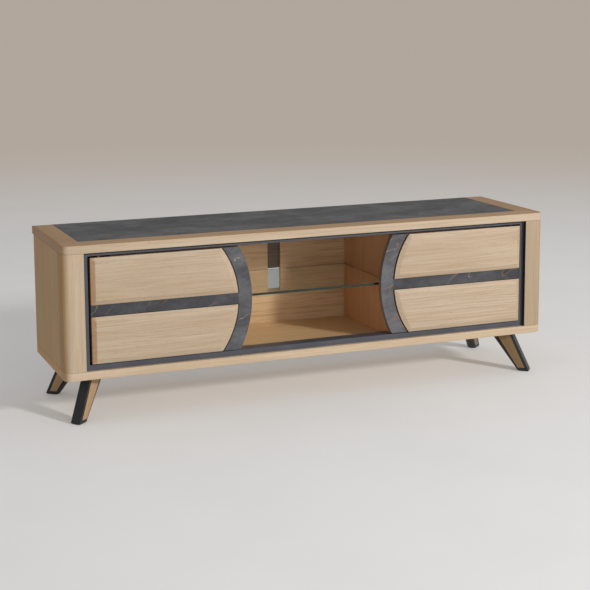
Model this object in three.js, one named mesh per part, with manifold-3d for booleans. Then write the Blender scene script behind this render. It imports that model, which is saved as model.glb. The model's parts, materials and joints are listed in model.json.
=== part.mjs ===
// Low television cabinet: an oak case with a slate-grey ceramic top, a dark metal front frame,
// two pivot-hung doors whose free edges bow into an open middle niche, a glass niche shelf and
// four splayed legs, each turned to its corner, of oak on a black metal plate and sole.
//
// Frame: millimetres, +Z up, the front faces -Y. The origin lies on the floor, half-way along
// the width and half-way along the depth of the top board.
import * as THREE from "three";
import { mergeVertices } from "three/addons/utils/BufferGeometryUtils.js";
import Module from "manifold-3d";

const wasm = await Module();
wasm.setup();

// ---------------------------------------------------------------- driving dimensions (mm)
const caseWidth = 1780;
const caseHeight = 445; // from the underside of the bottom board to the top face
const topDepth = 460; // the top board runs past the back for the cables
const caseDepth = 438; // side panels and bottom board
const legHeight = 150; // floor to bottom board
const seatGap = 0.3; // between pieces that touch

const boardThickness = 27; // top and bottom boards
const cornerRadius = 25; // upright front corners of the case
const sideThickness = 25;
const stileWidth = 72; // thick front part of each side panel
const stileDepth = 72;
const partitionThickness = 22;
const nicheWidth = 574;

const topStripSide = 72; // oak beside the ceramic inlay
const topStripFront = 77; // oak in front of the ceramic inlay
const inlayThickness = 6;

const frameRecess = 16; // case front to frame face
const frameDepth = 48;
const frameSideFace = 15;
const frameTopFace = 13;
const frameBottomFace = 18;
const frameArris = 1.2;

const doorGapSide = 5; // door to frame at the hinge side
const doorGapEnds = 3.3; // door to frame above and below
const doorBoardThickness = 15;
const doorCeramicThickness = 6;
const bowRise = 43; // how far the free edge bows into the niche
const bowEndReach = 3; // free edge past the partition at its two ends
const bandWidthMiddle = 46; // ceramic band along the free edge
const bandWidthEnds = 60;
const bandGroove = 4; // shadow groove between the band and the oak panels
const barHeight = 38.5; // ceramic bar across the door
const panelEdge = 9; // oak panel thickness at its outer edges
const panelFace = 15.5; // oak panel thickness inside the bevel
const panelBevel = 16;

const pivotInset = 32; // hinge axis from the door's outer edge
const pivotDepth = 22; // hinge axis behind the case front
const pinRadius = 3;
const bushClearance = 0.3;
const bushRadius = 4.5;
const bushFlangeRadius = 5.7;
const strapLength = 70;
const strapThickness = 3;
const strapLetIn = 3.3;

const strikeWidth = 40;
const strikeHeight = 14;
const strikeThickness = 1.5;
const strikeInset = 110; // from the end of the bowed edge
const catchDepth = 24;
const catchHeight = 14;

const shelfThickness = 18;
const shelfSetback = 90;
const cleatWidth = 16;
const cleatHeight = 20;
const glassThickness = 8;
const glassSetback = 40;
const glassClearance = 1;
const shelfPinRadius = 2.5;
const shelfPinReach = 9;
const shelfPinDepth = 8;
const shelfPinCollar = 2.7;
const shelfPinInset = 82; // from the glass edges, front and back

const nicheBackThickness = 10;
const rearCoverThickness = 6;
const slotWidth = 50;
const slotBottom = 121; // above the niche floor
const slotTopMargin = 18;
const slotRadius = 6;
const braceThickness = 16;
const braceOverlap = 40; // rear brace past the niche, each side

const legAngle = 40; // degrees from straight sideways to the way the flat face looks
const legWidth = 36; // across the flat face that looks out of the corner
const legPlate = 11; // black plate in front of the wood
const legDepthTop = 76; // wood behind the plate
const legDepthFoot = 34;
const legRound = 24; // part of that depth that is rounded, at the top
const legSoleThickness = 9;
const legBackWall = 2.7; // black steel that wraps the rounded back of the wood
const legBackGap = 0.9; // between that steel and the wood
const legGlide = 3;
const glideInset = 4;
const legSplayX = 54; // foot to top
const legSplayY = 46;
const footInsetX = 40; // case side to the middle of the wood's flat face, at the floor
const footInsetFront = 26;
const footInsetBack = 14;
const mountPlate = 8;
const mountPlateTail = 16; // mount plate past the wood, towards the middle of the cabinet

// ---------------------------------------------------------------- derived levels
const front = -topDepth / 2;
const back = front + caseDepth;
const halfCase = caseWidth / 2;
const bottomLow = legHeight;
const bottomHigh = bottomLow + boardThickness;
const topHigh = bottomLow + caseHeight;
const topLow = topHigh - boardThickness;
const stileInner = halfCase - stileWidth;
const sideInner = halfCase - sideThickness;
const partitionInner = nicheWidth / 2;
const partitionOuter = partitionInner + partitionThickness;

const frameFront = front + frameRecess;
const frameBack = frameFront + frameDepth;
const frameOuter = stileInner - seatGap;
const frameInner = frameOuter - frameSideFace;
const frameLow = bottomHigh + seatGap;
const frameHigh = topLow - seatGap;
const frameInnerLow = frameLow + frameBottomFace;
const frameInnerHigh = frameHigh - frameTopFace;

const doorOuter = frameInner - doorGapSide;
const doorLow = frameInnerLow + doorGapEnds;
const doorHigh = frameInnerHigh - doorGapEnds;
const doorMiddle = (doorLow + doorHigh) / 2;
const doorHalfHeight = (doorHigh - doorLow) / 2;
const doorBoardFront = frameFront;
const doorBoardBack = doorBoardFront + doorBoardThickness;
const overlayBack = doorBoardFront - seatGap;
const ceramicFront = doorBoardFront - doorCeramicThickness;
const bowEnd = partitionInner - bowEndReach;
const bowMiddle = bowEnd - bowRise;
const bandEnd = bowEnd + bandWidthEnds;
const bandMiddle = bowMiddle + bandWidthMiddle;
const pivotX = doorOuter - pivotInset;
const pivotY = front + pivotDepth;

const glassTop = doorMiddle + 5;
const glassLow = glassTop - glassThickness;
const nicheBackFront = back - nicheBackThickness;
const partitionFront = doorBoardBack + strikeThickness + seatGap * 2 + 4;

// ---------------------------------------------------------------- materials
function paint(colour, roughness, metalness = 0) {
  return () => new THREE.MeshStandardMaterial({ color: colour, roughness, metalness });
}
const oak = paint(0xc3a57f, 0.55);
const oakDark = paint(0x6e5034, 0.7);
const ceramic = paint(0x5f6066, 0.45);
const anthracite = paint(0x474c57, 0.4, 0.6);
const steel = paint(0xb4b6ba, 0.3, 1);
const blackMetal = paint(0x232427, 0.45, 0.4);
const blackPlastic = paint(0x18181a, 0.6);
const bronze = paint(0x8a6f45, 0.4, 0.8);
const glass = () =>
  new THREE.MeshStandardMaterial({ color: 0x9fc4b2, roughness: 0.05, transparent: true, opacity: 0.4 });

// ---------------------------------------------------------------- scene helpers
const cabinet = new THREE.Group();

function addPart(name, geometry, material) {
  const mesh = new THREE.Mesh(geometry, material());
  mesh.name = name;
  cabinet.add(mesh);
  return mesh;
}

function span(x0, x1, y0, y1, z0, z1) {
  const geometry = new THREE.BoxGeometry(Math.abs(x1 - x0), Math.abs(y1 - y0), Math.abs(z1 - z0));
  return geometry.translate((x0 + x1) / 2, (y0 + y1) / 2, (z0 + z1) / 2);
}

function prism(shape, depth, curveSegments = 12) {
  return new THREE.ExtrudeGeometry(shape, { depth, bevelEnabled: false, curveSegments });
}

// A plan outline (x, y) raised from z0 to z1.
function upright(shape, z0, z1, curveSegments) {
  return prism(shape, z1 - z0, curveSegments).translate(0, 0, z0);
}

// A front outline (x, z) given depth from y0 back to y1.
function facing(shape, y0, y1, curveSegments) {
  return prism(shape, y1 - y0, curveSegments).rotateX(Math.PI / 2).translate(0, y1, 0);
}

// A side outline (y, z) given width from x0 to x1.
function sideways(shape, x0, x1) {
  const turn = new THREE.Matrix4().makeBasis(
    new THREE.Vector3(0, 1, 0),
    new THREE.Vector3(0, 0, 1),
    new THREE.Vector3(1, 0, 0),
  );
  return prism(shape, x1 - x0).applyMatrix4(turn).translate(x0, 0, 0);
}

function polygon(points) {
  return new THREE.Shape(points.map(([u, v]) => new THREE.Vector2(u, v)));
}

// Solids of revolution about an upright axis, from a closed (radius, z) profile.
function turned(profile, segments = 24) {
  const points = profile.map(([r, z]) => new THREE.Vector2(r, z));
  return new THREE.LatheGeometry(points, segments).rotateX(Math.PI / 2);
}

function toSolid(geometry) {
  const bare = geometry.clone();
  bare.deleteAttribute("normal");
  bare.deleteAttribute("uv");
  const merged = mergeVertices(bare, 1e-4);
  const mesh = new wasm.Mesh({
    numProp: 3,
    vertProperties: new Float32Array(merged.attributes.position.array),
    triVerts: new Uint32Array(merged.index.array),
  });
  return new wasm.Manifold(mesh);
}

function toGeometry(solid) {
  const mesh = solid.getMesh();
  const geometry = new THREE.BufferGeometry();
  geometry.setAttribute("position", new THREE.BufferAttribute(mesh.vertProperties, 3));
  geometry.setIndex(new THREE.BufferAttribute(mesh.triVerts, 1));
  geometry.computeVertexNormals();
  return geometry;
}

function cut(geometry, tools) {
  return toGeometry(tools.reduce((solid, tool) => solid.subtract(toSolid(tool)), toSolid(geometry)));
}

function join(first, second) {
  return toGeometry(toSolid(first).add(toSolid(second)));
}

// A closed skin through loops of equal length; the first and last loops are capped unless the
// skin closes on itself.
function skin(loops, closed) {
  const count = loops[0].length;
  const position = loops.flat().flatMap((point) => [point.x, point.y, point.z]);
  const index = [];
  const rings = closed ? loops.length : loops.length - 1;
  for (let ring = 0; ring < rings; ring += 1) {
    const next = (ring + 1) % loops.length;
    for (let i = 0; i < count; i += 1) {
      const j = (i + 1) % count;
      const [a, b, c, d] = [ring * count + i, ring * count + j, next * count + j, next * count + i];
      index.push(a, b, c, a, c, d);
    }
  }
  if (!closed) {
    const flat = loops[0].map((point) => new THREE.Vector2(point.x, point.z));
    const last = (loops.length - 1) * count;
    const lastFlat = loops.at(-1).map((point) => new THREE.Vector2(point.x, point.z));
    for (const [a, b, c] of THREE.ShapeUtils.triangulateShape(flat, [])) index.push(c, b, a);
    for (const [a, b, c] of THREE.ShapeUtils.triangulateShape(lastFlat, [])) {
      index.push(last + a, last + b, last + c);
    }
  }
  const geometry = new THREE.BufferGeometry();
  geometry.setAttribute("position", new THREE.BufferAttribute(new Float32Array(position), 3));
  geometry.setIndex(index);
  geometry.computeVertexNormals();
  return geometry;
}

// Turns a skin the right way out, whichever way its loops run.
function outward(geometry) {
  const p = geometry.attributes.position;
  const index = geometry.index.array;
  const [a, b, c] = [new THREE.Vector3(), new THREE.Vector3(), new THREE.Vector3()];
  let volume = 0;
  for (let i = 0; i < index.length; i += 3) {
    a.fromBufferAttribute(p, index[i]);
    b.fromBufferAttribute(p, index[i + 1]);
    c.fromBufferAttribute(p, index[i + 2]);
    volume += a.dot(b.cross(c));
  }
  if (volume < 0) {
    for (let i = 0; i < index.length; i += 3) {
      [index[i], index[i + 1]] = [index[i + 1], index[i]];
    }
    geometry.computeVertexNormals();
  }
  return geometry;
}

// ---------------------------------------------------------------- case
// Plan of a full-width board with rounded front corners.
function boardPlan(depth) {
  const r = cornerRadius;
  const shape = new THREE.Shape();
  shape.moveTo(-halfCase, front + depth);
  shape.lineTo(-halfCase, front + r);
  shape.absarc(-halfCase + r, front + r, r, Math.PI, 1.5 * Math.PI, false);
  shape.lineTo(halfCase - r, front);
  shape.absarc(halfCase - r, front + r, r, 1.5 * Math.PI, 2 * Math.PI, false);
  shape.lineTo(halfCase, front + depth);
  return shape;
}

function topBoard() {
  const reach = halfCase - topStripSide;
  const pocket = span(
    -reach, reach,
    front + topStripFront, front + topDepth + 5,
    topHigh - inlayThickness - seatGap, topHigh + 5,
  );
  return cut(upright(boardPlan(topDepth), topLow, topHigh), [pocket]);
}

function topInlay() {
  const reach = halfCase - topStripSide - seatGap;
  return span(
    -reach, reach,
    front + topStripFront + seatGap, front + topDepth,
    topHigh - inlayThickness, topHigh,
  );
}

// L-shaped plan: a thick front stile with a rounded outer corner, and a thinner board behind.
function sidePanel(side) {
  const r = cornerRadius;
  const shape = new THREE.Shape();
  shape.moveTo(halfCase, back);
  shape.lineTo(sideInner, back);
  shape.lineTo(sideInner, front + stileDepth);
  shape.lineTo(stileInner, front + stileDepth);
  shape.lineTo(stileInner, front);
  shape.lineTo(halfCase - r, front);
  shape.absarc(halfCase - r, front + r, r, 1.5 * Math.PI, 2 * Math.PI, false);
  const geometry = upright(shape, bottomHigh + seatGap, topLow - seatGap);
  return side < 0 ? outward(mirror(geometry)) : geometry;
}

function mirror(geometry) {
  const merged = mergeVertices(stripped(geometry), 1e-4);
  return merged.scale(-1, 1, 1);
}

function stripped(geometry) {
  const bare = geometry.clone();
  bare.deleteAttribute("normal");
  bare.deleteAttribute("uv");
  return bare;
}

const glassBack = nicheBackFront - glassClearance;
const shelfPinYs = [front + glassSetback + shelfPinInset, glassBack - shelfPinInset];
const shelfPinZ = glassLow - seatGap - shelfPinRadius;

// Side outline: stands behind the doors and fits round the frame's two rails.
function partition(side) {
  const low = bottomHigh + seatGap;
  const high = topLow - seatGap;
  const outline = polygon([
    [frameBack + seatGap, low],
    [back, low],
    [back, high],
    [frameBack + seatGap, high],
    [frameBack + seatGap, frameInnerHigh - seatGap],
    [partitionFront, frameInnerHigh - seatGap],
    [partitionFront, frameInnerLow + seatGap],
    [frameBack + seatGap, frameInnerLow + seatGap],
  ]);
  const body = sideways(outline, partitionInner, partitionOuter);
  const holes = shelfPinYs.map((y) => {
    const depth = shelfPinDepth + seatGap;
    const hole = new THREE.CylinderGeometry(shelfPinRadius + 0.1, shelfPinRadius + 0.1, depth + 5, 16);
    return hole.rotateZ(Math.PI / 2).translate(partitionInner + (depth - 5) / 2, y, shelfPinZ);
  });
  const geometry = cut(body, holes);
  return side < 0 ? outward(mirror(geometry)) : geometry;
}

function nicheBack() {
  const reach = partitionInner - seatGap;
  const shape = polygon([
    [-reach, bottomHigh + seatGap],
    [reach, bottomHigh + seatGap],
    [reach, topLow - seatGap],
    [-reach, topLow - seatGap],
  ]);
  const slot = new THREE.Path();
  const half = slotWidth / 2;
  const low = bottomHigh + slotBottom;
  const high = topLow - slotTopMargin;
  const r = slotRadius;
  slot.moveTo(-half, low + r);
  slot.absarc(-half + r, low + r, r, Math.PI, 1.5 * Math.PI, false);
  slot.absarc(half - r, low + r, r, 1.5 * Math.PI, 2 * Math.PI, false);
  slot.absarc(half - r, high - r, r, 0, 0.5 * Math.PI, false);
  slot.absarc(-half + r, high - r, r, 0.5 * Math.PI, Math.PI, false);
  shape.holes.push(slot);
  return facing(shape, nicheBackFront, back, 6);
}

function rearBrace() {
  const reach = partitionInner + braceOverlap;
  return span(-reach, reach, back + seatGap, back + seatGap + braceThickness, glassTop, topLow - seatGap);
}

function rearCover(side) {
  return span(
    side * (partitionOuter + seatGap), side * (sideInner - seatGap),
    back - rearCoverThickness, back,
    bottomHigh + seatGap, topLow - seatGap,
  );
}

// ---------------------------------------------------------------- metal front frame
function frameLoop(halfWidth, low, high, y) {
  return [
    new THREE.Vector3(-halfWidth, y, low),
    new THREE.Vector3(halfWidth, y, low),
    new THREE.Vector3(halfWidth, y, high),
    new THREE.Vector3(-halfWidth, y, high),
  ];
}

function metalFrame() {
  const a = frameArris;
  const ring = outward(skin([
    frameLoop(frameOuter, frameLow, frameHigh, frameBack),
    frameLoop(frameOuter, frameLow, frameHigh, frameFront),
    frameLoop(frameInner + a, frameInnerLow - a, frameInnerHigh + a, frameFront),
    frameLoop(frameInner, frameInnerLow, frameInnerHigh, frameFront + a),
    frameLoop(frameInner, frameInnerLow, frameInnerHigh, frameBack),
  ], true));
  const seats = [];
  for (const side of [-1, 1]) {
    for (const [low, high] of [[frameLow, frameInnerLow], [frameInnerHigh, frameHigh]]) {
      const seat = new THREE.CylinderGeometry(bushRadius + 0.1, bushRadius + 0.1, high - low + 4, 32);
      seats.push(seat.rotateX(Math.PI / 2).translate(side * pivotX, pivotY, (low + high) / 2));
    }
  }
  return cut(ring, seats);
}

// ---------------------------------------------------------------- doors
// The arc that reaches endX at both ends of the door and middleX half-way up, or a concentric
// one set in by inset; x runs away from the cabinet's centre.
function bow(endX, middleX, z, inset) {
  const rise = endX - middleX;
  const radius = (doorHalfHeight ** 2 + rise ** 2) / (2 * rise);
  return middleX + radius - Math.sqrt((radius - inset) ** 2 - (z - doorMiddle) ** 2);
}

function bowPoints(endX, middleX, fromZ, toZ, steps, inset = 0) {
  const points = [];
  for (let i = 0; i <= steps; i += 1) {
    const z = fromZ + ((toZ - fromZ) * i) / steps;
    points.push([bow(endX, middleX, z, inset), z]);
  }
  return points;
}

function onSide(side, points) {
  const placed = points.map(([x, z]) => [side * x, z]);
  return side < 0 ? placed.reverse() : placed;
}

function doorBoard(side) {
  const strapEnd = doorOuter - strapLength - seatGap;
  const outline = onSide(side, [
    [doorOuter, doorHigh - strapLetIn],
    [strapEnd, doorHigh - strapLetIn],
    [strapEnd, doorHigh],
    ...bowPoints(bowEnd, bowMiddle, doorHigh, doorLow, 40),
    [strapEnd, doorLow],
    [strapEnd, doorLow + strapLetIn],
    [doorOuter, doorLow + strapLetIn],
  ]);
  return facing(polygon(outline), doorBoardFront, doorBoardBack);
}

function doorCeramic(side) {
  const barLow = doorMiddle - barHeight / 2;
  const barHigh = doorMiddle + barHeight / 2;
  const outline = onSide(side, [
    ...bowPoints(bowEnd, bowMiddle, doorHigh, doorLow, 40),
    ...bowPoints(bandEnd, bandMiddle, doorLow, barLow, 16),
    [doorOuter, barLow],
    [doorOuter, barHigh],
    ...bowPoints(bandEnd, bandMiddle, barHigh, doorHigh, 16),
  ]);
  return facing(polygon(outline), ceramicFront, overlayBack);
}

// Raised oak panel, bevelled all round.
function panelLoop(side, low, high, inset, y) {
  const bottom = low + inset;
  const top = high - inset;
  const outline = onSide(side, [
    [doorOuter - inset, bottom],
    [doorOuter - inset, top],
    ...bowPoints(bandEnd, bandMiddle, top, bottom, 16, bandGroove + inset),
  ]);
  return outline.map(([x, z]) => new THREE.Vector3(x, y, z));
}

function doorPanel(side, low, high) {
  return outward(skin([
    panelLoop(side, low, high, 0, overlayBack),
    panelLoop(side, low, high, 0, doorBoardFront - panelEdge),
    panelLoop(side, low, high, panelBevel, doorBoardFront - panelFace),
  ], false));
}

// Steel strap let into the end of the door, with its pivot pin. up = 1 for the upper one.
function pivotStrap(side, up) {
  const face = up > 0 ? doorHigh : doorLow;
  const railInner = up > 0 ? frameInnerHigh : frameInnerLow;
  const railOuter = up > 0 ? frameHigh : frameLow;
  const pinEnd = railOuter - up * 3;
  const strap = span(
    side * (doorOuter - strapLength), side * doorOuter,
    doorBoardFront + seatGap, doorBoardBack,
    face - up * strapThickness, face,
  );
  const length = Math.abs(pinEnd - face) + strapThickness / 2;
  const pin = new THREE.CylinderGeometry(pinRadius, pinRadius, length, 32).rotateX(Math.PI / 2);
  const middle = (pinEnd + face - (up * strapThickness) / 2) / 2;
  pin.translate(side * pivotX, pivotY, middle);
  if (Math.abs(railInner - face) >= Math.abs(pinEnd - face)) throw new Error("pivot pin misses its rail");
  return join(strap, pin);
}

// Bronze bush pressed into the rail, with a flange that the strap runs on.
function pivotBush(side, up) {
  const face = up > 0 ? doorHigh : doorLow;
  const railInner = up > 0 ? frameInnerHigh : frameInnerLow;
  const railOuter = up > 0 ? frameHigh : frameLow;
  const flangeEnd = face + up * seatGap;
  const flangeSeat = railInner - up * 0.1;
  const profile = [
    [pinRadius + bushClearance, flangeEnd],
    [bushFlangeRadius, flangeEnd],
    [bushFlangeRadius, flangeSeat],
    [bushRadius, flangeSeat],
    [bushRadius, railOuter],
    [pinRadius + bushClearance, railOuter],
    [pinRadius + bushClearance, flangeEnd],
  ];
  return outward(mergeVertices(stripped(turned(profile, 32)), 1e-4)).translate(side * pivotX, pivotY, 0);
}

function strikePlate(side) {
  const middle = bowEnd + strikeInset;
  const top = doorHigh - 3;
  return span(
    side * (middle - strikeWidth / 2), side * (middle + strikeWidth / 2),
    doorBoardBack + seatGap, doorBoardBack + seatGap + strikeThickness,
    top - strikeHeight, top,
  );
}

function magneticCatch(side) {
  const middle = bowEnd + strikeInset;
  const face = doorBoardBack + strikeThickness + 2 * seatGap;
  return span(
    side * (middle - strikeWidth / 2), side * (middle + strikeWidth / 2),
    face, face + catchDepth,
    frameInnerHigh - seatGap - catchHeight, frameInnerHigh - seatGap,
  );
}

// ---------------------------------------------------------------- shelves
const woodShelfLow = doorMiddle - shelfThickness / 2;

function cupboardShelf(side) {
  return span(
    side * (partitionOuter + 1), side * (sideInner - 1),
    front + shelfSetback, back - rearCoverThickness - 2,
    woodShelfLow, woodShelfLow + shelfThickness,
  );
}

function shelfCleat(side, wall, inward) {
  const start = wall + inward * seatGap;
  return span(
    side * start, side * (start + inward * cleatWidth),
    front + shelfSetback + 15, back - rearCoverThickness - 20,
    woodShelfLow - seatGap - cleatHeight, woodShelfLow - seatGap,
  );
}

function glassShelf() {
  const reach = partitionInner - glassClearance;
  return span(-reach, reach, front + glassSetback, glassBack, glassLow, glassTop);
}

// Pin with a collar against the partition; the glass lies on its free end.
function glassPin(side, y) {
  const inner = -shelfPinReach;
  const profile = [
    [0, inner],
    [shelfPinRadius, inner],
    [shelfPinRadius, -1.8],
    [shelfPinCollar, -1.8],
    [shelfPinCollar, -seatGap],
    [shelfPinRadius, -seatGap],
    [shelfPinRadius, shelfPinDepth],
    [0, shelfPinDepth],
  ];
  const points = profile.map(([r, along]) => new THREE.Vector2(r, along));
  const pin = new THREE.LatheGeometry(points, 16).rotateZ(-Math.PI / 2);
  const solid = mergeVertices(stripped(pin), 1e-4);
  if (side < 0) solid.scale(-1, 1, 1);
  return outward(solid).translate(side * partitionInner, y, shelfPinZ);
}

// ---------------------------------------------------------------- legs
// Plan of a leg in its own axes: u runs out of the corner, v across the flat face, and the back
// is a half ellipse. The wood's flat face is on u = 0.
function legPlan(outer, inset = 0) {
  const half = legWidth / 2 - inset;
  const round = legRound - inset;
  const straight = legRound - legDepthTop;
  const shape = new THREE.Shape();
  shape.moveTo(outer, -half);
  shape.lineTo(straight, -half);
  shape.absellipse(straight, 0, round, half, -Math.PI / 2, Math.PI / 2, true);
  shape.lineTo(outer, half);
  return shape;
}

// The rounded back: half an ellipse, drawn in from the leg's outline.
function legBackArc(inset) {
  const centre = legRound - legDepthTop - legBackGap;
  const round = legRound - legBackGap - inset;
  const half = legWidth / 2 - inset;
  const steps = 20;
  return Array.from({ length: steps + 1 }, (_, i) => {
    const angle = -Math.PI / 2 - (Math.PI * i) / steps;
    return [centre + round * Math.cos(angle), half * Math.sin(angle)];
  });
}

function legWoodPlan() {
  const half = legWidth / 2;
  const straight = legRound - legDepthTop;
  const nose = legBackArc(legBackWall + legBackGap);
  return polygon([
    [0, -half], [straight, -half], [straight, nose[0][1]],
    ...nose,
    [straight, -nose[0][1]], [straight, half], [0, half],
  ]);
}

function legBackPlan() {
  return polygon([...legBackArc(0), ...legBackArc(legBackWall).reverse()]);
}

function platePlan(inner, outer) {
  const half = legWidth / 2;
  return polygon([[inner, -half], [outer, -half], [outer, half], [inner, half]]);
}

// Sets a plan at a corner of the cabinet: sideX and sideY are -1 or 1. rise is the height at
// which the splay and the taper are taken; without it they follow the height of each point.
function atCorner(geometry, sideX, sideY, rise) {
  const solid = mergeVertices(stripped(geometry), 1e-4);
  const footX = sideX * (halfCase - footInsetX);
  const footY = sideY < 0 ? front + footInsetFront : back - footInsetBack;
  const turn = THREE.MathUtils.degToRad(legAngle);
  const position = solid.attributes.position;
  for (let i = 0; i < position.count; i += 1) {
    const share = (rise ?? position.getZ(i)) / legHeight;
    const taper = (legDepthFoot + (legDepthTop - legDepthFoot) * share) / legDepthTop;
    const v = position.getY(i);
    const u = position.getX(i) * (position.getX(i) < 0 ? taper : 1);
    const outX = u * Math.cos(turn) + v * Math.sin(turn) - legSplayX * share;
    const outY = u * Math.sin(turn) - v * Math.cos(turn) - legSplayY * share;
    position.setXYZ(i, footX + sideX * outX, footY + sideY * outY, position.getZ(i));
  }
  return outward(solid);
}

const soleLow = legGlide + seatGap;
const soleHigh = soleLow + legSoleThickness;
const plateLow = bottomLow - seatGap - mountPlate;
const legTop = plateLow - seatGap;

function legWood(sideX, sideY) {
  return atCorner(upright(legWoodPlan(), soleHigh + seatGap, legTop), sideX, sideY);
}

function legBracket(sideX, sideY) {
  const sole = atCorner(upright(legPlan(legPlate), soleLow, soleHigh, 14), sideX, sideY);
  const plate = atCorner(upright(platePlan(seatGap, legPlate), soleLow, legTop), sideX, sideY);
  const backWall = atCorner(upright(legBackPlan(), soleLow, legTop), sideX, sideY);
  return join(join(sole, plate), backWall);
}

function legMountPlate(sideX, sideY) {
  const plan = platePlan(-legDepthTop - mountPlateTail, legPlate);
  return atCorner(upright(plan, plateLow, bottomLow - seatGap), sideX, sideY, plateLow);
}

function legGlidePad(sideX, sideY) {
  return atCorner(upright(legPlan(legPlate - glideInset, glideInset), 0, legGlide, 14), sideX, sideY);
}

// ---------------------------------------------------------------- assembly
addPart("top_board", topBoard(), oak);
addPart("top_ceramic_inlay", topInlay(), ceramic);
addPart("bottom_board", upright(boardPlan(caseDepth), bottomLow, bottomHigh), oak);
addPart("niche_back_panel", nicheBack(), oak);
addPart("rear_brace", rearBrace(), oakDark);
addPart("metal_frame", metalFrame(), anthracite);
addPart("glass_shelf", glassShelf(), glass);

for (const [hand, side] of [["left", -1], ["right", 1]]) {
  addPart(`${hand}_side_panel`, sidePanel(side), oak);
  addPart(`${hand}_partition`, partition(side), oak);
  addPart(`${hand}_rear_cover`, rearCover(side), oak);
  addPart(`${hand}_cupboard_shelf`, cupboardShelf(side), oak);
  addPart(`${hand}_shelf_cleat_outer`, shelfCleat(side, sideInner, -1), oak);
  addPart(`${hand}_shelf_cleat_inner`, shelfCleat(side, partitionOuter, 1), oak);
  addPart(`${hand}_magnetic_catch`, magneticCatch(side), blackPlastic);
  shelfPinYs.forEach((y, i) => {
    addPart(`${hand}_glass_pin_${i ? "rear" : "front"}`, glassPin(side, y), steel);
  });

  addPart(`${hand}_door_board`, doorBoard(side), oak);
  addPart(`${hand}_door_ceramic`, doorCeramic(side), ceramic);
  addPart(
    `${hand}_door_upper_panel`,
    doorPanel(side, doorMiddle + barHeight / 2 + seatGap, doorHigh),
    oak,
  );
  addPart(
    `${hand}_door_lower_panel`,
    doorPanel(side, doorLow, doorMiddle - barHeight / 2 - seatGap),
    oak,
  );
  addPart(`${hand}_door_strike_plate`, strikePlate(side), steel);
  for (const [level, up] of [["upper", 1], ["lower", -1]]) {
    addPart(`${hand}_${level}_pivot_strap`, pivotStrap(side, up), steel);
    addPart(`${hand}_${level}_pivot_bush`, pivotBush(side, up), bronze);
  }

  for (const [place, sideY] of [["front", -1], ["rear", 1]]) {
    addPart(`${place}_${hand}_leg`, legWood(side, sideY), oak);
    addPart(`${place}_${hand}_leg_bracket`, legBracket(side, sideY), blackMetal);
    addPart(`${place}_${hand}_leg_mount_plate`, legMountPlate(side, sideY), blackMetal);
    addPart(`${place}_${hand}_leg_glide`, legGlidePad(side, sideY), blackPlastic);
  }
}

export default cabinet;
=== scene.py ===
"""Finishes the jointed oak television cabinet: boards, doors, metalwork, glass, legs, fixings and stage."""

import json
from math import cos, pi, radians, sin

import bmesh
import bpy
from bpy.props import FloatProperty, FloatVectorProperty, IntProperty, PointerProperty
from mathutils import Matrix, Vector


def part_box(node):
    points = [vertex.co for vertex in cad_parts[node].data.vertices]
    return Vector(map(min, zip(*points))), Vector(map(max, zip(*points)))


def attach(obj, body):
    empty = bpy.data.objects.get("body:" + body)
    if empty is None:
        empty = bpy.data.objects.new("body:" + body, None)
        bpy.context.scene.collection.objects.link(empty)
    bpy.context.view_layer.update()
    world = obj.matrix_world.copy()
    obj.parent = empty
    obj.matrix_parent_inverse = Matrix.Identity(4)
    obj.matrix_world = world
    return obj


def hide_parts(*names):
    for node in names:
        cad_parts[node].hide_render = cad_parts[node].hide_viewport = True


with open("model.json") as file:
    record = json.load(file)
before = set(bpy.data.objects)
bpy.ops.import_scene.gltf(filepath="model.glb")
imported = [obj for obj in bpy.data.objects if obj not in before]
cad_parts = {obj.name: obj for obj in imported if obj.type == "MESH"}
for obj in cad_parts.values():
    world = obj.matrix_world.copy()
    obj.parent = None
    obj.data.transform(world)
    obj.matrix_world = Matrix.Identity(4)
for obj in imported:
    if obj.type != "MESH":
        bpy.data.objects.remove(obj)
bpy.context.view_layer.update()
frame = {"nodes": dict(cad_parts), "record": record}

bl_info = {
    "name": "Oak Television Cabinet",
    "version": (1, 0, 0),
    "blender": (4, 5, 0),
    "location": "3D View > Sidebar > Cabinet",
    "description": "Finishes a low oak television cabinet on its CAD frame",
    "category": "Object",
}

SIDES = {"left": -1, "right": 1}
ENDS = {"front": -1, "rear": 1}
ALONG_X, ALONG_Y, ALONG_Z = (1, 0, 0), (0, 1, 0), (0, 0, 1)
BACKWARDS, DOWNWARDS = Vector((0, 1, 0)), Vector((0, 0, -1))

# The Mix node's colour sockets, which share their names with those for numbers.
MIX_SHARE, MIX_FIRST, MIX_SECOND, MIX_RESULT = 0, 6, 7, 2

# Distance between two rings of the Wave node at a scale of 1.
RING_STEP = 2 * pi / 20

# Colours that the oak is multiplied by, for boards that show differently from the main oak. Several are
# painted light and shade, as marked beside them.
TINTS = {
    # Painted light: the whole bottom board is made paler, so that its front edge and the niche floor show as
    # brightly lit.
    "bottom board": (1.12, 1.11, 1.10),
    # Painted light: the niche back is made warmer, for the warm light bounced about inside the niche.
    "niche back": (1.14, 0.98, 0.80),
    # Painted shade: the right side panel is made darker than the left one, as its end shows in shade.
    "right side": (0.80, 0.79, 0.77),
    # Painted light: both partitions are made warmer too, for the same bounced light.
    "left partition": (1.08, 0.93, 0.76),
    "right partition": (1.03, 0.97, 0.88),
    "cupboards": (0.96, 0.91, 0.84),
    "shelf rails": (0.94, 0.92, 0.90),
    "door panels": (0.955, 0.96, 0.965),
    "door boards": (0.95, 0.93, 0.90),
    # The legs' wood differs by side: the left legs' is made paler, as painted light on their lit face; the
    # right legs' much darker, as painted shade on their seen face, which faces away from the light.
    "left legs": (0.80, 0.68, 0.52),
    "right legs": (0.46, 0.375, 0.25),
}
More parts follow.
